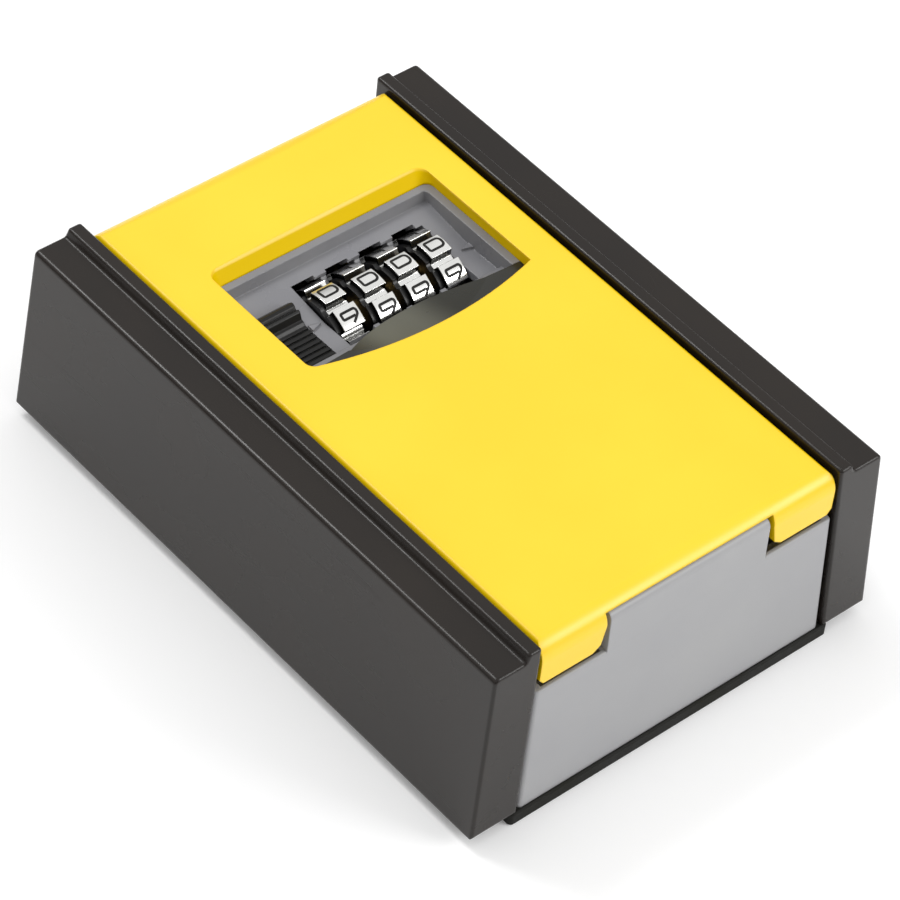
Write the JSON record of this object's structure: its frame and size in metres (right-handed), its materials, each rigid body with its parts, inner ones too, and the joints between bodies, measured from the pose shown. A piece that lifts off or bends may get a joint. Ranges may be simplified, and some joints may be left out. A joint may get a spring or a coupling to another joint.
{
  "type": "wall key lock box",
  "caption": "Wall-mounted key safe: a cast tray between two guard rails, closed by a hinged door with a row of number dials and a thumb slide that frees its latch.",
  "frame": {"origin": "centre of the back pad's rear face, where the box meets the wall; the box lies on its back", "axes": "+Z out of the wall towards the user, +Y towards the box's top (dial end), +X to the right of somebody facing it; the door hinge is at -Y"},
  "size_m": [0.09, 0.124, 0.0404],
  "materials": {
    "grey_cast": "satin silver-grey powder coat on zinc casting",
    "black_rail": "black moulded guard, low gloss, soft edges",
    "zinc_screw": "zinc-plated steel",
    "rubber": "matt black rubber",
    "steel": "bright zinc-plated sheet and pin",
    "yellow_coat": "satin yellow powder coat",
    "bezel_grey": "satin mid-grey coat on zinc casting",
    "scoop_black": "smooth black, semi-gloss",
    "black_plastic": "black moulding",
    "spring_steel": "spring steel",
    "slide_black": "black ribbed thumb slide, satin",
    "wheel_black": "black moulding",
    "chrome": "bright chrome plating",
    "brass": "plain brass"
  },
  "bodies": {
    "root": {"body_shell": "grey_cast", "left_side_rail": "black_rail", "right_side_rail": "black_rail", "rail_screws": "zinc_screw", "back_pad": "rubber", "hinge_pin": "steel"},
    "door": {"door_cover": "yellow_coat", "dial_bezel": "bezel_grey", "window_scoop": "scoop_black", "bezel_screws": "zinc_screw", "lock_frame": "black_plastic", "lock_back_plate": "steel", "back_plate_screws": "zinc_screw", "dial_spindle": "steel", "spindle_clip": "spring_steel", "detent_spring": "spring_steel", "return_spring": "spring_steel"},
    "slide": {"opening_slide": "slide_black", "latch_plate": "steel", "slide_screws": "zinc_screw"},
    "lever": {"code_lever": "black_plastic"},
    "dial_1": {"dial_wheel_1": "wheel_black", "number_ring_1": "chrome", "code_sleeve_1": "brass"},
    "dial_2": {"dial_wheel_2": "wheel_black", "number_ring_2": "chrome", "code_sleeve_2": "brass"},
    "dial_3": {"dial_wheel_3": "wheel_black", "number_ring_3": "chrome", "code_sleeve_3": "brass"},
    "dial_4": {"dial_wheel_4": "wheel_black", "number_ring_4": "chrome", "code_sleeve_4": "brass"}
  },
  "joints": [
    {"name": "door_hinge", "type": "hinge", "parent": "root", "child": "door", "pos_m": [0, -0.0578, 0.0357], "axis": [1, 0, 0], "range_deg": [0, 95]},
    {"name": "dial_1_turn", "type": "hinge", "parent": "door", "child": "dial_1", "pos_m": [-0.00655, 0.0242, 0.0268], "axis": [1, 0, 0], "continuous": true},
    {"name": "dial_2_turn", "type": "hinge", "parent": "door", "child": "dial_2", "pos_m": [0.00095, 0.0242, 0.0268], "axis": [1, 0, 0], "continuous": true},
    {"name": "dial_3_turn", "type": "hinge", "parent": "door", "child": "dial_3", "pos_m": [0.00845, 0.0242, 0.0268], "axis": [1, 0, 0], "continuous": true},
    {"name": "dial_4_turn", "type": "hinge", "parent": "door", "child": "dial_4", "pos_m": [0.01595, 0.0242, 0.0268], "axis": [1, 0, 0], "continuous": true},
    {"name": "slide_travel", "type": "slide", "parent": "door", "child": "slide", "axis": [0, -1, 0], "range_m": [0, 0.003], "stiffness_N_per_m": 400, "springref_m": -0.004, "deforming": ["return_spring"]},
    {"name": "code_lever_turn", "type": "hinge", "parent": "door", "child": "lever", "pos_m": [0.005, 0.0105, 0.0143], "axis": [0, 0, 1], "range_deg": [0, 90]}
  ]
}
